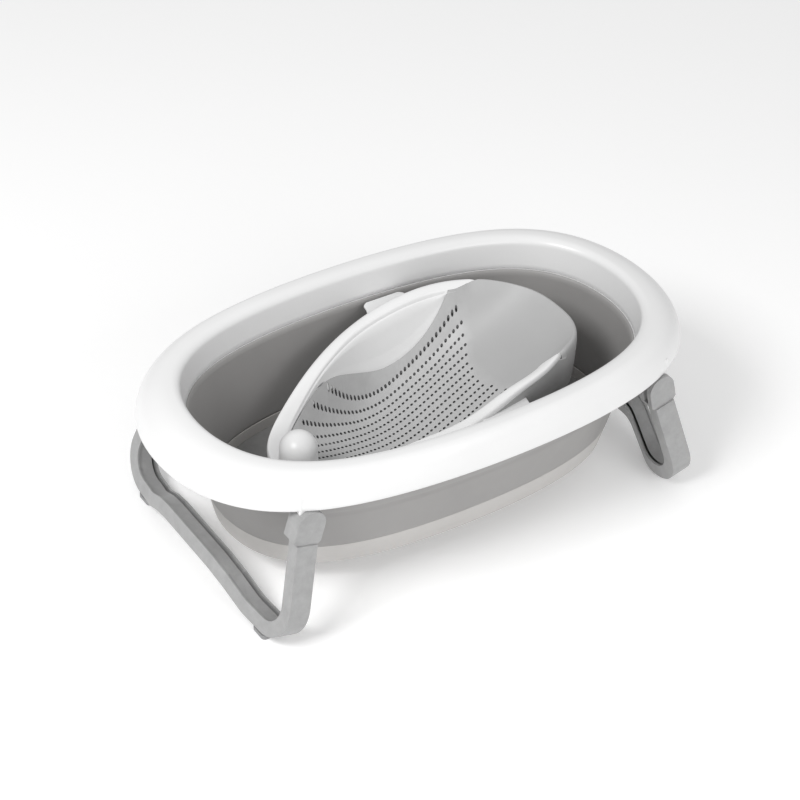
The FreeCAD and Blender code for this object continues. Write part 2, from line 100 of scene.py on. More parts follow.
def bevelled(obj, width, segments=3, angle=35):
    """Round the sharp edges of a piece."""
    modifier = obj.modifiers.new("edge_rounding", "BEVEL")
    modifier.width = width * MM
    modifier.segments = segments
    modifier.limit_method = "ANGLE"
    modifier.angle_limit = math.radians(angle)
    modifier.harden_normals = False
    return obj


# ---------------------------------------------------------------- materials

def set_inputs(node, **values):
    """Set a node's input sockets by name, with spaces written as underscores."""
    for name, value in values.items():
        node.inputs[name.replace("_", " ")].default_value = value
    return node


def moulded(name, colour, shade, roughness, grain, bump, wear=0.5, sheen=0.0, patch=9.0, specular=0.5):
    """Moulded plastic or rubber: slow colour drift, fine grain, and edges rubbed a little lighter."""
    material = bpy.data.materials.new(name)
    material.use_nodes = True
    nodes = material.node_tree.nodes
    links = material.node_tree.links
    shader = nodes["Principled BSDF"]
    set_inputs(shader, Specular_IOR_Level=specular, Sheen_Weight=sheen)

    place = nodes.new("ShaderNodeTexCoord")
    drift = set_inputs(nodes.new("ShaderNodeTexNoise"), Scale=patch, Detail=4.0, Roughness=0.55)
    links.new(place.outputs["Object"], drift.inputs["Vector"])
    tone = nodes.new("ShaderNodeValToRGB")
    tone.color_ramp.elements[0].position = 0.3
    tone.color_ramp.elements[1].position = 0.7
    tone.color_ramp.elements[0].color = (*[part * (1 - shade) for part in colour], 1)
    tone.color_ramp.elements[1].color = (*[min(1, part * (1 + shade)) for part in colour], 1)
    links.new(drift.outputs["Fac"], tone.inputs["Fac"])

    shape = nodes.new("ShaderNodeNewGeometry")
    rubbed = nodes.new("ShaderNodeValToRGB")
    rubbed.color_ramp.elements[0].position = 0.52
    rubbed.color_ramp.elements[1].position = 0.6
    links.new(shape.outputs["Pointiness"], rubbed.inputs["Fac"])
    scuff = set_inputs(nodes.new("ShaderNodeTexNoise"), Scale=60.0, Detail=6.0, Roughness=0.7)
    links.new(place.outputs["Object"], scuff.inputs["Vector"])
    worn = nodes.new("ShaderNodeMath")
    worn.operation = "MULTIPLY"
    links.new(rubbed.outputs["Color"], worn.inputs[0])
    links.new(scuff.outputs["Fac"], worn.inputs[1])
    edge = nodes.new("ShaderNodeMix")
    edge.data_type = "RGBA"
    edge.inputs["B"].default_value = (*[part + (1 - part) * 0.35 * wear for part in colour], 1)
    links.new(worn.outputs[0], edge.inputs["Factor"])
    links.new(tone.outputs["Color"], edge.inputs["A"])
    links.new(edge.outputs["Result"], shader.inputs["Base Color"])

    gloss = nodes.new("ShaderNodeMapRange")
    set_inputs(gloss, To_Min=roughness * 0.85, To_Max=min(1.0, roughness * 1.2))
    links.new(scuff.outputs["Fac"], gloss.inputs["Value"])
    links.new(gloss.outputs["Result"], shader.inputs["Roughness"])

    texture = set_inputs(nodes.new("ShaderNodeTexNoise"), Scale=grain, Detail=3.0, Roughness=0.6)
    links.new(place.outputs["Object"], texture.inputs["Vector"])
    relief = set_inputs(nodes.new("ShaderNodeBump"), Strength=bump, Distance=0.0002)
    links.new(texture.outputs["Fac"], relief.inputs["Height"])
    links.new(relief.outputs["Normal"], shader.inputs["Normal"])
    return material


def brushed_steel():
    """Turned steel of pins and screws."""
    material = moulded("turned_steel", (0.55, 0.55, 0.54), 0.06, 0.32, 700.0, 0.25)
    material.node_tree.nodes["Principled BSDF"].inputs["Metallic"].default_value = 1.0
    return material


WHITE = moulded("rim_white", (0.80, 0.80, 0.80), 0.012, 0.3, 900.0, 0.05, 0.3)
SEAT_WHITE = moulded("seat_white", (0.80, 0.80, 0.80), 0.012, 0.34, 900.0, 0.06, 0.3)
WARM_WHITE = moulded("tray_warm_white", (0.49, 0.475, 0.46), 0.02, 0.38, 800.0, 0.08, 0.4)
WALL_GREY = moulded("wall_grey", (0.31, 0.303, 0.298), 0.04, 0.5, 600.0, 0.2, 0.4, sheen=0.05)
MAT_GREY = moulded("mat_grey", (0.18, 0.178, 0.175), 0.04, 0.5, 600.0, 0.2, 0.4)
SEAT_GREY = moulded("seat_grey", (0.43, 0.43, 0.43), 0.025, 0.42, 900.0, 0.14, 0.5)
LEG_GREY = moulded("leg_grey", (0.25, 0.25, 0.25), 0.03, 0.42, 800.0, 0.12, 0.7)
# Painted shade: near-black grey that stands in for the shadow inside the drain holes, on the bowl's top and
# on the panel's hole walls.
SEAT_HOLE_SHADE = moulded("seat_hole_painted_shade", (0.07, 0.07, 0.072), 0.06, 0.6, 700.0, 0.2, 0.3)
RUBBER = moulded("foot_rubber", (0.24, 0.24, 0.243), 0.08, 0.75, 500.0, 0.35, 0.4)
PLUG_GREY = moulded("plug_grey", (0.30, 0.30, 0.305), 0.04, 0.55, 700.0, 0.2, 0.5)
STEEL = brushed_steel()

NODE_MATERIALS = {
    "rim": WHITE, "retaining_ring": WHITE, "ring_screws": STEEL, "fold_wall": WALL_GREY,
    "base_tray": WARM_WHITE, "floor_mat": MAT_GREY, "drain_seat": WHITE, "drain_plug": PLUG_GREY,
    "seat_shell": SEAT_WHITE, "seat_panel": SEAT_GREY, "crotch_post": SEAT_WHITE, "seat_feet": RUBBER,
}
for end in ("left", "right"):
    NODE_MATERIALS[end + "_leg_shell"] = LEG_GREY
    NODE_MATERIALS[end + "_leg_cover"] = LEG_GREY
    NODE_MATERIALS[end + "_foot_pads"] = RUBBER
    for side in ("near", "far"):
        NODE_MATERIALS[f"{end}_{side}_knuckle"] = LEG_GREY
        NODE_MATERIALS[f"{end}_{side}_hinge_pin"] = STEEL
for node_name, node_material in NODE_MATERIALS.items():
    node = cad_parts[node_name]
    node.data.materials.clear()
    node.data.materials.append(node_material)


# ---------------------------------------------------------------- rim

TUB_LENGTH = 820
TUB_WIDTH = 462
TUB_HEIGHT = 255
SKIRT_BOTTOM = 206
END_CREST_INSET = 47
SIDE_CREST_INSET = 20
CREST_BAND = 5
LIP_INSET_END = 12
LIP_INSET_SIDE = 17
LIP_DROP = 12
WALL_TOP_LENGTH = 682
WALL_TOP_WIDTH = 372
INNER_WALL_BOTTOM = 205
RIM_WALL = 4
SKIRT_EDGE = 1.2
WALL_FOOT_EDGE = 0.6
SKIRT_FOOT_EDGE = 0.7
AROUND = 192
SQUARENESS_X = 0.032
SQUARENESS_Y = 0.048


def oval_point(half_length, half_width, turn):
    """Point of the tub's oval, fuller at its corners than an ellipse."""
    x = half_length * ((1 + SQUARENESS_X) * math.cos(turn) - SQUARENESS_X * math.cos(3 * turn))
    y = half_width * ((1 + SQUARENESS_Y) * math.sin(turn) + SQUARENESS_Y * math.sin(3 * turn))
    return x, y


def oval_rings(profile):
    """Points of the ovals of a profile, whose stations are (half length, half width, level)."""
    points = []
    for half_length, half_width, level in profile:
        for step in range(AROUND):
            x, y = oval_point(half_length, half_width, 2 * math.pi * step / AROUND)
            points.append((x, y, level))
    return points


def skirt_arc(inset, count):
    """Outer face of the rim from the skirt's foot to the crest, pulled in by inset."""
    low = SKIRT_BOTTOM + SKIRT_EDGE
    stations = []
    for share in blend_steps(count):
        turn = share * math.pi / 2
        pull = 1 - math.cos(turn)
        stations.append((TUB_LENGTH / 2 - inset - END_CREST_INSET * pull,
                         TUB_WIDTH / 2 - inset - SIDE_CREST_INSET * pull,
                         low + (TUB_HEIGHT - low - inset) * math.sin(turn)))
    return stations


def lip_arc(growth, count):
    """Inner face of the rim from the crest down to the foot of the inner wall."""
    crest_length = TUB_LENGTH / 2 - END_CREST_INSET - CREST_BAND + growth
    crest_width = TUB_WIDTH / 2 - SIDE_CREST_INSET - CREST_BAND + growth
    stations = []
    for share in blend_steps(count):
        turn = share * math.pi / 2
        stations.append((crest_length - LIP_INSET_END * math.sin(turn),
                         crest_width - LIP_INSET_SIDE * math.sin(turn),
                         TUB_HEIGHT - growth - LIP_DROP * (1 - math.cos(turn))))
    last = stations[-1]
    foot = (WALL_TOP_LENGTH / 2 + growth, WALL_TOP_WIDTH / 2 + growth, INNER_WALL_BOTTOM + 1)
    for share in blend_steps(7)[1:]:
        stations.append(tuple(a + (b - a) * share for a, b in zip(last, foot)))
    return stations


def rim_profile():
    """Closed cross section of the rim moulding, outside first and then back inside it."""
    outer = skirt_arc(0, 18)
    inner = lip_arc(0, 9)
    wall_foot = inner[-1]
    under_wall = [(wall_foot[0] + out, wall_foot[1] + out, INNER_WALL_BOTTOM)
                  for out in (WALL_FOOT_EDGE, RIM_WALL - WALL_FOOT_EDGE)]
    hidden = list(reversed(lip_arc(RIM_WALL, 6))) + list(reversed(skirt_arc(RIM_WALL, 8)))
    skirt_foot = hidden[-1]
    under_skirt = [(skirt_foot[0] + SKIRT_FOOT_EDGE, skirt_foot[1] + SKIRT_FOOT_EDGE, SKIRT_BOTTOM),
                   (TUB_LENGTH / 2 - SKIRT_FOOT_EDGE, TUB_WIDTH / 2 - SKIRT_FOOT_EDGE, SKIRT_BOTTOM)]
    return outer + inner + under_wall + hidden + under_skirt


profile = rim_profile()
rim_mesh = mesh_from("rim_moulding", oval_rings(profile), loop_faces(len(profile), AROUND, True))
rim_mesh.materials.append(WHITE)
rim_piece = add_object("rim_moulding", rim_mesh, "rim_frame")
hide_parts("rim")


HINGE_X = 288
HINGE_Y = 180
HINGE_Z = 184
TONGUE_HALF = 13
TONGUE_DEPTH = 8
TONGUE_TOP = 226
TONGUE_STEPS = 16


def hinge_lug(name, side_x, side_y):
    """Tongue that hangs from the rim between the two cheeks of a leg's knuckle."""
    outline = [(-TONGUE_HALF, TONGUE_TOP - HINGE_Z)]
    for share in blend_steps(TONGUE_STEPS + 1):
        turn = math.pi + math.pi * share
        outline.append((TONGUE_HALF * math.cos(turn), TONGUE_HALF * math.sin(turn)))
    outline.append((TONGUE_HALF, TONGUE_TOP - HINGE_Z))
    count = len(outline)
    points = []
    for depth in (-TONGUE_DEPTH / 2, TONGUE_DEPTH / 2):
        for x, z in outline:
            points.append((side_x * HINGE_X + x, side_y * HINGE_Y + depth, HINGE_Z + z))
    faces = [tuple(range(count)), tuple(reversed(range(count, 2 * count)))]
    faces += loop_faces(2, count, False)
    mesh = mesh_from(name, points, faces)
    mesh.materials.append(WHITE)
    return bevelled(add_object(name, mesh, "rim_frame"), 1.2)


for end, side_x in (("left", -1), ("right", 1)):
    for side, side_y in (("near", -1), ("far", 1)):
        hinge_lug(f"{end}_{side}_hinge_lug", side_x, side_y)


# ---------------------------------------------------------------- folding wall

WALL_TOP = (340, 185, 204.4)
WALL_FOOT = (314.2, 166.2, 78.4)
WALL_THICKNESS = 3
CREASE_SHARE = 0.47
CREASE_DEPTH = 1.4
CREASE_SPREAD = 0.022
WALL_SWELL = 2.0
WALL_STATIONS = 41
TOP_LEDGE = 0.8
TOP_EASING = 0.06


def wall_profile():
    """Closed cross section of the soft wall: smooth inside, with one fold crease outside."""
    inner = []
    outer = []
    for share in blend_steps(WALL_STATIONS):
        swell = WALL_SWELL * math.sin(math.pi * share)
        crease = CREASE_DEPTH * math.exp(-((share - CREASE_SHARE) / CREASE_SPREAD) ** 2)
        length, width, level = [top + (foot - top) * share for top, foot in zip(WALL_TOP, WALL_FOOT)]
        outer.append((length + swell - crease, width + swell - crease, level))
        depth = min(WALL_THICKNESS, TOP_LEDGE + WALL_THICKNESS * share / TOP_EASING)
        inner.append((length + swell - depth, width + swell - depth, level))
    return outer + list(reversed(inner))


profile = wall_profile()
wall_mesh = mesh_from("soft_wall", oval_rings(profile), loop_faces(len(profile), AROUND, True))
wall_mesh.materials.append(WALL_GREY)
soft_wall = bpy.data.objects.new("soft_wall", wall_mesh)
bpy.context.scene.collection.objects.link(soft_wall)
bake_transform(soft_wall)
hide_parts("fold_wall")


# ---------------------------------------------------------------- seat surface

# Edge of the seat from its foot round one side to the head: x, half width, height.
SEAT_EDGE = [(-220, 0, 114), (-203, 60, 117), (-165, 88, 138), (-98, 117, 174), (-15, 142, 200),
             (75, 136, 229), (135, 122, 236), (178, 100, 237), (212, 77, 232), (236, 42, 229), (243, 0, 227)]
EDGE_SAMPLES = 1440
SEAT_CENTRE = -20
SEAT_LOW = 75.5
FOOT_RISE = 0.0013
BACK_START = -50
BACK_CURVE = 0.0036
BACK_SLOPE = 0.54
FLANK_POWER = 3.4
SHOULDER_POWER = 2.0
SHOULDER_ANGLE = 50
SHOULDER_SPREAD = 30
FLANGE_WIDTH = 16
FLANGE_FADE = (27, 35)
FOOT_FLANGE_GAIN = 8
FOOT_FLANGE_FADE = (120, 180)
STEEP_SHARE = 0.78

# The grey panel is narrowest across the hips and widens towards the head and the foot.
# Widths are shares of the way from the seat's centre to its edge, and turns are degrees from the head.
PANEL_WAIST = 0.775
PANEL_HEAD_GAIN = 0.13
PANEL_HEAD_TURN = 37.5
PANEL_HEAD_SPREAD = 7
PANEL_FOOT_GAIN = 0.087
PANEL_FOOT_FADE = (66, 140)


def periodic_spline(stations, samples):
    """Smooth closed curve through stations, as points evenly spaced in its parameter."""
    points = np.array(stations, float)
    count = len(points)
    steps = np.linalg.norm(np.roll(points, -1, axis=0) - points, axis=1)
    before = np.roll(steps, 1)
    matrix = np.zeros((count, count))
    target = np.zeros((count, 3))
    for index in range(count):
        last = (index - 1) % count
        after = (index + 1) % count
        matrix[index, last] += before[index]
        matrix[index, index] += 2 * (before[index] + steps[index])
        matrix[index, after] += steps[index]
        target[index] = 6 * ((points[after] - points[index]) / steps[index]
                             - (points[index] - points[last]) / before[index])
    bend = np.linalg.solve(matrix, target)
    knots = np.concatenate([[0], np.cumsum(steps)])
    curve = []
    for at in np.linspace(0, knots[-1], samples, endpoint=False):
        index = min(count - 1, int(np.searchsorted(knots, at, side="right")) - 1)
        after = (index + 1) % count
        width = steps[index]
        right = (at - knots[index]) / width
        left = 1 - right
        sag = (left ** 3 - left) * bend[index] + (right ** 3 - right) * bend[after]
        curve.append(left * points[index] + right * points[after] + sag * width ** 2 / 6)
    return np.array(curve)


OTHER_SIDE = [(x, -y, z) for x, y, z in reversed(SEAT_EDGE[1:-1])]
EDGE_CURVE = periodic_spline(SEAT_EDGE + OTHER_SIDE, EDGE_SAMPLES)
EDGE_ANGLES = np.arctan2(EDGE_CURVE[:, 1], EDGE_CURVE[:, 0] - SEAT_CENTRE)
EDGE_ORDER = np.argsort(EDGE_ANGLES)
EDGE_ANGLES = EDGE_ANGLES[EDGE_ORDER]
EDGE_CURVE = EDGE_CURVE[EDGE_ORDER]


def seat_edge(angle):
    """Point of the seat's edge in a direction from its centre."""
    return [float(np.interp(angle, EDGE_ANGLES, EDGE_CURVE[:, axis], period=2 * math.pi))
            for axis in range(3)]


def seat_floor(x):
    """Height of the seat's centre line: low at the hips, then a straight back up to the head."""
    reach = x - BACK_START
    if reach < 0:
        return SEAT_LOW + FOOT_RISE * reach * reach
    bend = BACK_SLOPE / (2 * BACK_CURVE)
    return SEAT_LOW + BACK_CURVE * min(reach, bend) ** 2 + BACK_SLOPE * max(0, reach - bend)


def flange_start(angle, reach):
    """Share of the way to the edge where the flat white flange begins."""
    turn = math.degrees(abs(angle))
    width = FLANGE_WIDTH * smooth_step(turn, *FLANGE_FADE)
    width += FOOT_FLANGE_GAIN * smooth_step(turn, *FOOT_FLANGE_FADE)
    return 1 - width / reach


def seat_height(x, y):
    """Height of the seat's upper surface, and the share of the way to its edge."""
    angle = math.atan2(y, x - SEAT_CENTRE)
    edge_x, edge_y, edge_z = seat_edge(angle)
    reach = math.hypot(edge_x - SEAT_CENTRE, edge_y)
    share = math.hypot(x - SEAT_CENTRE, y) / reach
    start = flange_start(angle, reach)
    turn = math.degrees(abs(angle))
    lean = (turn - SHOULDER_ANGLE) / SHOULDER_SPREAD
    power = FLANK_POWER + SHOULDER_POWER * math.exp(-lean * lean)
    power *= math.log(STEEP_SHARE) / math.log(STEEP_SHARE / start)
    rise = min(1.0, share / start) ** power
    return seat_floor(x) + (edge_z - seat_floor(edge_x)) * rise, share


def panel_share(angle):
    """Share of the way to the edge where the grey panel ends, at the flange at the latest."""
    turn = math.degrees(abs(angle))
    edge_x, edge_y, _ = seat_edge(angle)
    share = PANEL_WAIST + PANEL_HEAD_GAIN * math.exp((PANEL_HEAD_TURN - turn) / PANEL_HEAD_SPREAD)
    share += PANEL_FOOT_GAIN * smooth_step(turn, *PANEL_FOOT_FADE)
    return min(share, flange_start(angle, math.hypot(edge_x - SEAT_CENTRE, edge_y)))


def on_seat(angle, share, lift=0.0):
    """Point of the seat's surface in a direction, at a share of the way to the edge."""
    edge_x, edge_y, _ = seat_edge(angle)
    x = SEAT_CENTRE + (edge_x - SEAT_CENTRE) * share
    y = edge_y * share
    return Vector((x, y, seat_height(x, y)[0] + lift))


# ---------------------------------------------------------------- perforated panel

ROW_GAP = 12.3
ROWS_EACH_SIDE = 8
HOLE_PITCH = 6.6
HOLE_RADIUS = 2.0
HOLE_SIDES = 12
FIRST_HOLE = -148
ROW_STARTS = {6: -138, 7: -113, 8: -82}
ROW_END = 112
ROW_END_GAIN = 27
ROW_END_REACH = 80
ROW_END_POWER = 1.6
GRID_STEP = 9
GRID_LENGTH = (-210, 285)
GRID_WIDTH = (-144, 145)
HOLE_CLEARANCE = 7
SHEET_MARGIN = 0.03


def row_end(y):
    """Where a row of holes stops towards the head."""
    return ROW_END + ROW_END_GAIN * min(1.0, abs(y) / ROW_END_REACH) ** ROW_END_POWER


def hole_centres():
    """Centres of all the drain holes, in rows that run along the seat."""
    centres = []
    for row in range(-ROWS_EACH_SIDE, ROWS_EACH_SIDE + 1):
        y = row * ROW_GAP
        start = ROW_STARTS.get(abs(row), FIRST_HOLE)
        for index in range(int((row_end(y) - start) / HOLE_PITCH) + 1):
            centres.append((start + index * HOLE_PITCH, y))
    return centres


HOLES = hole_centres()


def inside_outline(x, y, share_at):
    """Whether a point is well inside an outline given by its share of the way to the edge."""
    return seat_height(x, y)[1] < share_at(math.atan2(y, x - SEAT_CENTRE)) - SHEET_MARGIN


def plan_sheet(outline, share_at, radius):
    """Triangles of a flat sheet with a hole at each hole centre: (points, faces)."""
    points = [Vector(point[:2]) for point in outline]
    loops = [list(range(len(points)))]
    for x, y in HOLES:
        first = len(points)
        for side in range(HOLE_SIDES):
            turn = 2 * math.pi * (side + 0.5) / HOLE_SIDES
            points.append(Vector((x + radius * math.cos(turn), y + radius * math.sin(turn))))
        loops.append(list(range(first, first + HOLE_SIDES)))
    centres = np.array(HOLES)
    for x in np.arange(*GRID_LENGTH, GRID_STEP):
        for y in np.arange(*GRID_WIDTH, GRID_STEP):
            gap = np.hypot(centres[:, 0] - x, centres[:, 1] - y).min()
            if gap > HOLE_CLEARANCE and inside_outline(x, y, share_at):
                points.append(Vector((x, y)))
    made = delaunay_2d_cdt(points, [], loops, 0, 0.0001)
    made_points, faces, origins = made[0], made[2], made[5]
    kept = [tuple(face) for face, origin in zip(faces, origins) if list(origin) == [0]]
    return made_points, kept


SEAT_STEPS = 240
SEAT_ANGLES = [-math.pi + 2 * math.pi * (step + 0.5) / SEAT_STEPS for step in range(SEAT_STEPS)]
PANEL_THICKNESS = 1.0
HEAD_ANGLE = math.radians(30.5)
# The panel's turn-down round the head: how far out and how far down from the edge.
HEAD_WRAP = ((1.8, 0.3), (3.4, 1.2), (4.8, 2.8), (5.8, 5.2), (6.4, 8.4), (6.8, 13.0), (7.0, 20.0),
             (6.8, 34.0), (6.2, 50.0), (5.2, 66.0), (4.0, 76.0))


def sheet_outline(share_at):
    """Edge of a sheet on the seat's surface, counter-clockwise, starting at the foot."""
    return [on_seat(angle, share_at(angle)) for angle in SEAT_ANGLES]


def thickened(piece, thickness, underside=0, sides=0, sharp_angle=40):
    """Give an open sheet its thickness below it, as plain mesh, with crisp hole edges.

    Underside and sides take the material that many places after the top's."""
    solid = piece.modifiers.new("thickness", "SOLIDIFY")
    solid.thickness = thickness * MM
    solid.offset = -1
    solid.material_offset = underside
    solid.material_offset_rim = sides
    bpy.context.view_layer.update()
    sheet = piece.data
    piece.data = bpy.data.meshes.new_from_object(piece.evaluated_get(bpy.context.evaluated_depsgraph_get()))
    piece.modifiers.clear()
    piece.data.name = sheet.name
    piece.data.set_sharp_from_angle(angle=math.radians(sharp_angle))
    return piece


def make_panel():
    """Grey panel with its rows of drain holes, wrapped over the seat's edge round the head."""
    outline = sheet_outline(panel_share)
    plan, faces = plan_sheet(outline, panel_share, HOLE_RADIUS)
    work = bmesh.new()
    verts = [work.verts.new((x * MM, y * MM, seat_height(x, y)[0] * MM)) for x, y in plan]
    for face in faces:
        work.faces.new([verts[index] for index in face])
    for vert in [vert for vert in verts if not vert.link_faces]:
        work.verts.remove(vert)
    work.verts.index_update()
    tree = KDTree(len(work.verts))
    for vert in work.verts:
        tree.insert(vert.co, vert.index)
    tree.balance()
    work.verts.ensure_lookup_table()
    head = []
    for point in outline:
        if abs(math.atan2(point.y, point.x - SEAT_CENTRE)) < HEAD_ANGLE:
            head.append(work.verts[tree.find(point * MM)[1]])
    previous = head
    for out, down in HEAD_WRAP:
        row = []
        for vert in head:
            away = Vector((vert.co.x - SEAT_CENTRE * MM, vert.co.y, 0)).normalized()
            row.append(work.verts.new(vert.co + (away * out - Vector((0, 0, down))) * MM))
        for index in range(len(head) - 1):
            work.faces.new((previous[index], row[index], row[index + 1], previous[index + 1]))
        previous = row
    bmesh.ops.recalc_face_normals(work, faces=work.faces)
    if sum(face.normal.z * face.calc_area() for face in work.faces) < 0:
        bmesh.ops.reverse_faces(work, faces=work.faces)
    mesh = bpy.data.meshes.new("seat_perforated_panel")
    work.to_mesh(mesh)
    work.free()
    mesh.shade_smooth()
    mesh.materials.append(SEAT_GREY)
    # The panel's sides, hole walls included, take the painted hole shade.
    mesh.materials.append(SEAT_HOLE_SHADE)
    return thickened(add_object("seat_perforated_panel", mesh, "seat"), PANEL_THICKNESS, sides=1)


panel_piece = make_panel()
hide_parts("seat_panel")


# ---------------------------------------------------------------- seat frame

FRAME_HEAD_FADE = (28, 30)
FRAME_SINK = 3.4
FRAME_PULL_IN = 2.2
FRAME_UNDERSIDE = 6.4


def frame_profile(angle):
    """Closed line of the frame in one direction: flank, flat flange, outer face and back inside.

    Round the head the grey panel covers the frame, so the frame sinks below it there."""
    turn = math.degrees(abs(angle))
    inner = panel_share(angle)
    edge_x, edge_y, _ = seat_edge(angle)
    flange = flange_start(angle, math.hypot(edge_x - SEAT_CENTRE, edge_y))
    flange = max(inner + 0.004, flange)
    away = Vector((edge_x - SEAT_CENTRE, edge_y, 0)).normalized()
    head = 1 - smooth_step(turn, *FRAME_HEAD_FADE)
    edge = on_seat(angle, 1.0, -FRAME_SINK * head)

    def top(share, lift):
        return on_seat(angle, share, lift - (FRAME_SINK + lift) * head)

    line = [on_seat(angle, inner - 0.02, -FRAME_SINK), on_seat(angle, inner - 0.01, -FRAME_SINK),
            on_seat(angle, inner + 0.002, -2.6), top(inner + 0.004, 0.1)]
    for share in (0.12, 0.3, 0.5, 0.65, 0.8, 0.9, 0.96):
        line.append(top(inner + (flange - inner) * share, 0.2))
    for share, lift in ((0.06, 0.5), (0.2, 1.1), (0.4, 1.6), (0.65, 1.6), (0.85, 1.0)):
        line.append(top(flange + (1 - flange) * share, lift))
    for out, down in ((0.3, 0.0), (1.5, 1.6), (2.3, 4.2), (2.5, 7.0), (2.2, 9.0)):
        line.append(edge + away * (out - FRAME_PULL_IN * head) - Vector((0, 0, down)))
    line.append(edge - away * (FRAME_PULL_IN + head) - Vector((0, 0, 9.0)))
    line.append(edge - away * (2.6 + head) - Vector((0, 0, 6.0)))
    for share in (0.75, 0.45, 0.15):
        line.append(on_seat(angle, flange + (1 - flange) * share, -4.0))
    for share in (0.95, 0.8, 0.6, 0.35, 0.15):
        line.append(on_seat(angle, inner + (flange - inner) * share, -4.4) - away * 2.6 * share)
    line.append(on_seat(angle, inner - 0.01, -FRAME_UNDERSIDE))
    line.append(on_seat(angle, inner - 0.02, -FRAME_UNDERSIDE))
    return line


def make_frame():
    """White frame round the panel: flanks, flat flange and outer edge."""
    lines = [frame_profile(angle) for angle in SEAT_ANGLES]
    points = [point for line in lines for point in line]
    mesh = mesh_from("seat_frame", points, loop_faces(SEAT_STEPS, len(lines[0]), True))
    mesh.materials.append(SEAT_WHITE)
    return add_object("seat_frame", mesh, "seat")


frame_piece = make_frame()
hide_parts("seat_shell")


SKIRT_DROP = 76
SKIRT_LOWEST = 72
SKIRT_WALL = 1.8
SKIRT_TAPER = 2.6
SKIRT_HEAD_FADE = (27, 33)
SKIRT_OUT = 1.4
SKIRT_HEAD_OUT = 5.3
SKIRT_START = 5.0
SKIRT_HEAD_START = 8.0
SKIRT_STATIONS = (0.0, 0.04, 0.12, 0.25, 0.45, 0.7, 1.0)


def make_skirt():
    """Grey wall that drops from under the flange, and from the headrest, all round the seat."""
    points = []
    for angle in SEAT_ANGLES:
        turn = math.degrees(abs(angle))
        edge = Vector(seat_edge(angle))
        away = Vector((edge.x - SEAT_CENTRE, edge.y, 0)).normalized()
        head = 1 - smooth_step(turn, *SKIRT_HEAD_FADE)
        out = SKIRT_OUT + SKIRT_HEAD_OUT * head
        start = SKIRT_START + SKIRT_HEAD_START * head
        depth = min(SKIRT_DROP, edge.z - SKIRT_LOWEST) - start
        outer = [edge + away * (out - SKIRT_TAPER * share * share) - Vector((0, 0, start + depth * share))
                 for share in SKIRT_STATIONS]
        inner = [point - away * SKIRT_WALL for point in outer]
        points += outer + list(reversed(inner))
    mesh = mesh_from("seat_skirt", points, loop_faces(SEAT_STEPS, 2 * len(SKIRT_STATIONS), True))
    mesh.materials.append(SEAT_GREY)
    return add_object("seat_skirt", mesh, "seat")


skirt_piece = make_skirt()


BOWL_MARGIN = 0.035
BOWL_HOLE_RADIUS = 1.3
BOWL_DROP = 2.9
BOWL_THICKNESS = 3.0


def bowl_share(angle):
    """Share of the way to the edge where the bowl ends, just inside the panel's edge."""
    return panel_share(angle) - BOWL_MARGIN


def make_bowl():
    """Perforated bowl right under the panel: its top is painted shade, near black where it shows in the
    holes, and its underside is white.
    """
    plan, faces = plan_sheet(sheet_outline(bowl_share), bowl_share, BOWL_HOLE_RADIUS)
    points = [(x, y, seat_height(x, y)[0] - BOWL_DROP) for x, y in plan]
    used = sorted({index for face in faces for index in face})
    renumber = {index: place for place, index in enumerate(used)}
    mesh = mesh_from("seat_bowl", [points[index] for index in used],
                     [tuple(renumber[index] for index in face) for face in faces])
    if sum(face.normal.z for face in mesh.polygons) < 0:
        mesh.flip_normals()
    # The bowl's top takes the painted hole shade, and its underside is white.
    mesh.materials.append(SEAT_HOLE_SHADE)
    mesh.materials.append(SEAT_WHITE)
    return thickened(add_object("seat_bowl", mesh, "seat"), BOWL_THICKNESS, underside=1)


bowl_piece = make_bowl()
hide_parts("seat_shell")


# ---------------------------------------------------------------- ears and ball post

EAR_START = 22
EAR_END = 92
EAR_REACH = 176
EAR_LEVEL = 203
EAR_FLARE = 15
EAR_THICKNESS = 4
EAR_RISE = 5
EAR_ROOT = 3.0
EAR_CORNER = 8
EAR_FLARE_POWER = 2.4
EAR_ACROSS = 21
EAR_ALONG = 17


def half_width_at(x, side):
    """Half width of the seat's edge at a given x on one long side."""
    low, high = 0.2, 1.6
    for _ in range(24):
        middle = (low + high) / 2
        if seat_edge(side * middle * math.pi / 2)[0] > x:
            low = middle
        else:
            high = middle
    return abs(seat_edge(side * low * math.pi / 2)[1])


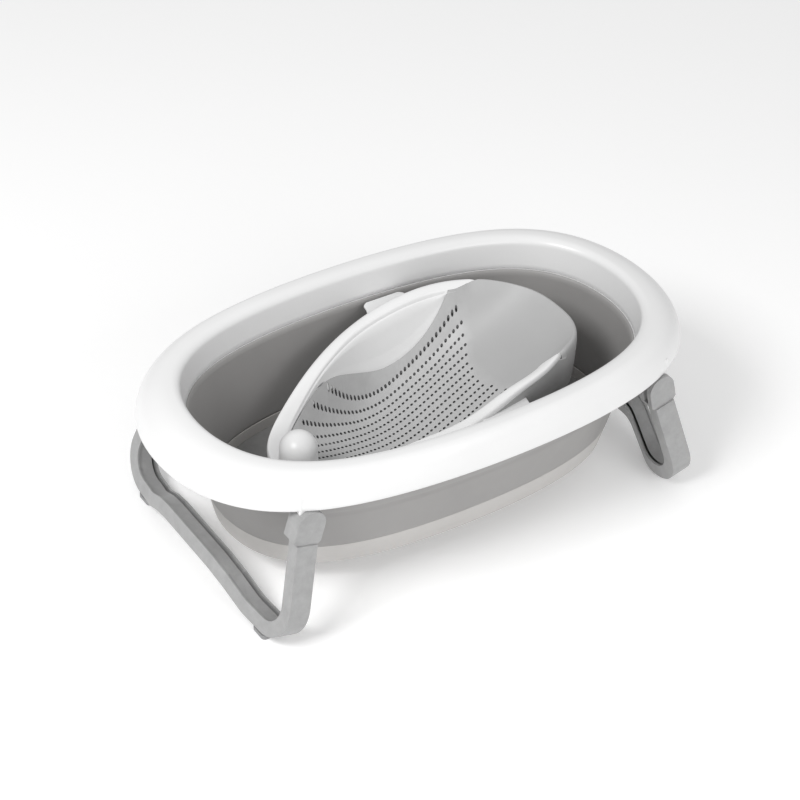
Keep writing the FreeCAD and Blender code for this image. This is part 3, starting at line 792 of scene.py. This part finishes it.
def make_ear(name, side):
    """Tab beside the seat that reaches out over the wall, flared where it leaves the seat's flange."""
    top = []
    for row in range(EAR_ALONG):
        share = row / (EAR_ALONG - 1)
        start = EAR_START - EAR_FLARE * (1 - share) ** EAR_FLARE_POWER
        corner = EAR_CORNER * max(0.0, (share - 0.8) / 0.2) ** 2
        for column in range(EAR_ACROSS):
            x = start + corner + (EAR_END - start - 2 * corner) * column / (EAR_ACROSS - 1)
            inner_y = half_width_at(x, side) - EAR_ROOT
            y = inner_y + (EAR_REACH - inner_y) * share
            rise = EAR_RISE * (1 - smooth_step(share, 0.0, 0.4))
            top.append((x, side * y, EAR_LEVEL + rise))
    points = top + [(x, y, z - EAR_THICKNESS) for x, y, z in top]
    count = EAR_ACROSS * EAR_ALONG
    faces = []
    for row in range(EAR_ALONG - 1):
        for column in range(EAR_ACROSS - 1):
            first = row * EAR_ACROSS + column
            quad = (first, first + 1, first + EAR_ACROSS + 1, first + EAR_ACROSS)
            faces.append(quad)
            faces.append(tuple(reversed([index + count for index in quad])))
    border = list(range(EAR_ACROSS)) + [row * EAR_ACROSS + EAR_ACROSS - 1 for row in range(1, EAR_ALONG)]
    border += [(EAR_ALONG - 1) * EAR_ACROSS + column for column in range(EAR_ACROSS - 2, -1, -1)]
    border += [row * EAR_ACROSS for row in range(EAR_ALONG - 2, 0, -1)]
    for index, here in enumerate(border):
        there = border[(index + 1) % len(border)]
        faces.append((here, there, there + count, here + count))
    mesh = mesh_from(name, points, faces)
    mesh.materials.append(SEAT_WHITE)
    return bevelled(add_object(name, mesh, "seat"), 1.2)


for side_name, side in (("near", -1), ("far", 1)):
    ear_piece = make_ear(f"seat_{side_name}_ear", side)


POST_X = -191
POST_TOP = 167
POST_BALL = 27
POST_SIDES = 64
POST_FOOT = 96
POST_FOOT_GAIN = 2.5


def make_post():
    """Domed post that stops the baby sliding down, a little wider towards its foot."""
    centre = POST_TOP - POST_BALL
    line = []
    for share in blend_steps(16):
        turn = math.pi / 2 * (1 - share)
        line.append((max(0.01, POST_BALL * math.cos(turn)), centre + POST_BALL * math.sin(turn)))
    for share in blend_steps(10)[1:]:
        line.append((POST_BALL + POST_FOOT_GAIN * share * share, centre + (POST_FOOT - centre) * share))
    points = []
    for radius, z in line:
        for step in range(POST_SIDES):
            turn = 2 * math.pi * step / POST_SIDES
            points.append((POST_X + radius * math.cos(turn), radius * math.sin(turn), z))
    faces = loop_faces(len(line), POST_SIDES, False)
    faces.append(tuple(range((len(line) - 1) * POST_SIDES, len(line) * POST_SIDES)))
    faces.append(tuple(reversed(range(POST_SIDES))))
    mesh = mesh_from("seat_ball_post", points, faces)
    mesh.materials.append(SEAT_WHITE)
    return add_object("seat_ball_post", mesh, "seat")


post_piece = make_post()
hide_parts("crotch_post")


# ---------------------------------------------------------------- floor, light and camera

def stage_floor():
    """Large pale floor under the object."""
    size = 12.0
    mesh = bpy.data.meshes.new("stage_floor")
    corners = [(-size, -size, 0), (size, -size, 0), (size, size, 0), (-size, size, 0)]
    mesh.from_pydata(corners, [], [(0, 1, 2, 3)])
    floor = bpy.data.objects.new("stage_floor", mesh)
    bpy.context.scene.collection.objects.link(floor)
    floor.location.z = -0.0005
    material = moulded("floor_pale", (0.93, 0.93, 0.93), 0.004, 0.8, 40.0, 0.02, 0.0, patch=1.5, specular=0.2)
    shader = material.node_tree.nodes["Principled BSDF"]
    set_inputs(shader, Emission_Color=(1, 1, 1, 1), Emission_Strength=0.16)
    mesh.materials.append(material)


LIGHT_TARGET = (0, 0, 0.15)


def area_light(name, place, size, power):
    """Soft rectangular white light that faces the tub."""
    light = bpy.data.lights.new(name, "AREA")
    light.shape = "RECTANGLE"
    light.size, light.size_y = size
    light.energy = power
    lamp = bpy.data.objects.new(name, light)
    bpy.context.scene.collection.objects.link(lamp)
    lamp.location = place
    lamp.rotation_mode = "QUATERNION"
    lamp.rotation_quaternion = (Vector(place) - Vector(LIGHT_TARGET)).to_track_quat("Z", "Y")


def surroundings(colour, strength):
    """Even light from all round."""
    world = bpy.data.worlds.new("studio")
    world.use_nodes = True
    background = world.node_tree.nodes["Background"]
    background.inputs["Color"].default_value = (*colour, 1)
    background.inputs["Strength"].default_value = strength
    bpy.context.scene.world = world


def photo_camera(azimuth, elevation, roll, distance, lens, target):
    """Camera at an azimuth and elevation round a target, in degrees and metres."""
    turn = math.radians(azimuth)
    rise = math.radians(elevation)
    tilt = math.radians(roll)
    back = Vector((math.sin(turn) * math.cos(rise), -math.cos(turn) * math.cos(rise), math.sin(rise)))
    right = Vector((math.cos(turn), math.sin(turn), 0))
    up = back.cross(right)
    side = right * math.cos(tilt) + up * math.sin(tilt)
    top = up * math.cos(tilt) - right * math.sin(tilt)
    camera_data = bpy.data.cameras.new("photo_camera")
    camera_data.lens = lens
    camera_data.sensor_width = 36
    camera_data.clip_start = 0.05
    camera_data.clip_end = 60
    camera = bpy.data.objects.new("photo_camera", camera_data)
    bpy.context.scene.collection.objects.link(camera)
    pose = Matrix((side, top, back)).transposed().to_4x4()
    pose.translation = Vector(target) + back * distance
    camera.matrix_world = pose
    bpy.context.scene.camera = camera


stage_floor()
surroundings((1.0, 1.0, 1.0), 0.55)
area_light("key_light", (-2.2, -0.5, 2.5), (1.2, 1.0), 56)
area_light("front_light", (0.2, -3.0, 1.7), (2.2, 1.6), 30)
photo_camera(azimuth=-35, elevation=37, roll=2.7, distance=3.069, lens=96.33, target=(0.0055, 0.0437, 0.120))
bpy.context.scene.view_settings.view_transform = "Standard"
